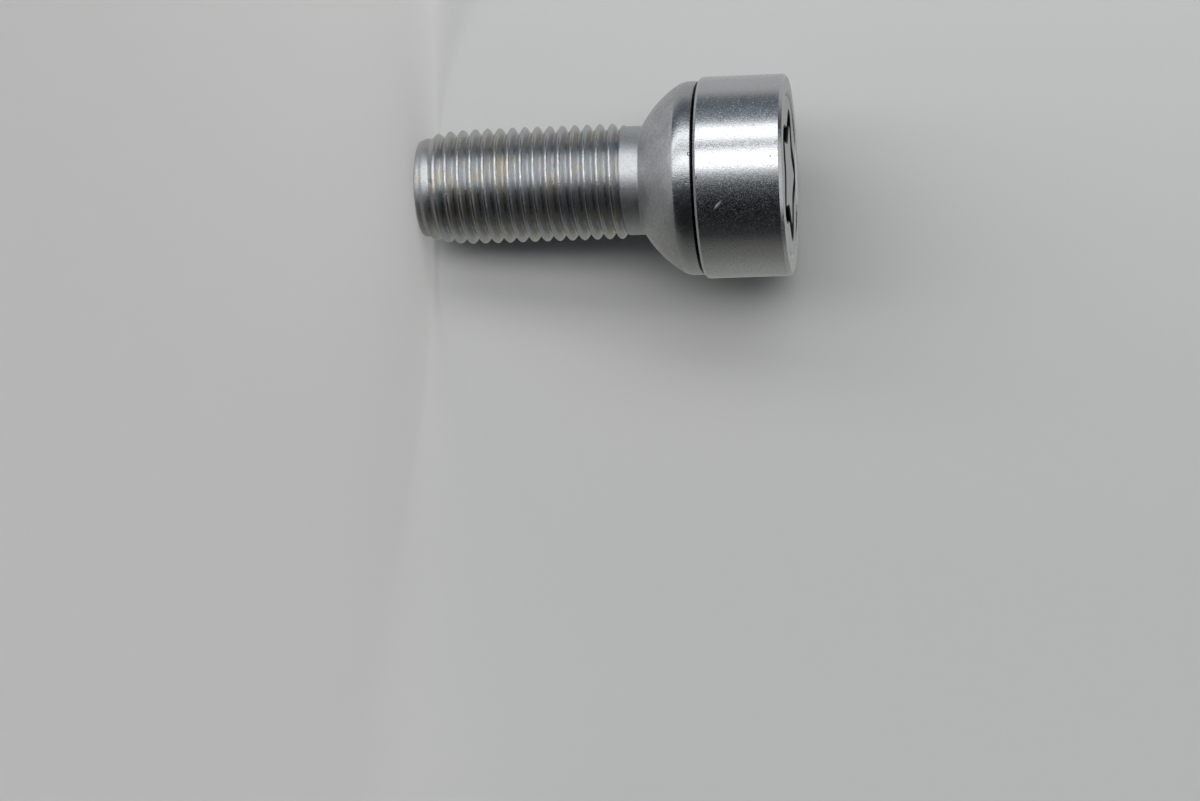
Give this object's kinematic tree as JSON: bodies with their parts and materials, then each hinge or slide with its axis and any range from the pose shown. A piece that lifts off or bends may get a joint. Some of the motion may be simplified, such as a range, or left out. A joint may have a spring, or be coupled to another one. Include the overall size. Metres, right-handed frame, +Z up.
{
  "type": "locking wheel bolt",
  "caption": "Bright zinc-plated locking wheel bolt with a ball seat, a wavy key groove in its head and a collar that turns freely round the head so that it can't be gripped.",
  "frame": {"origin": "on the floor, at the middle of the flat tip that the bolt stands on", "axes": "+Z up along the bolt's axis, from the tip to the head; +X and +Y across it. The bolt stands on its tip, because lying on its round side it rolls."},
  "size_m": [0.0237, 0.0236, 0.044],
  "materials": {
    "plated_steel": "bright zinc plate, satin on the ball seat, with faint passivation tints on the thread",
    "polished_plate": "bright zinc plate on a smooth turned collar, with fine specks",
    "spring_wire": "plain drawn spring wire, lightly oiled"
  },
  "bodies": {
    "bolt": {"wheel_bolt": "plated_steel"},
    "collar": {"spin_collar": "polished_plate", "snap_ring": "spring_wire"}
  },
  "joints": [
    {"name": "collar_spin", "type": "hinge", "parent": "bolt", "child": "collar", "pos_m": [0, 0, 0.03881], "axis": [0, 0, 1], "continuous": true}
  ]
}
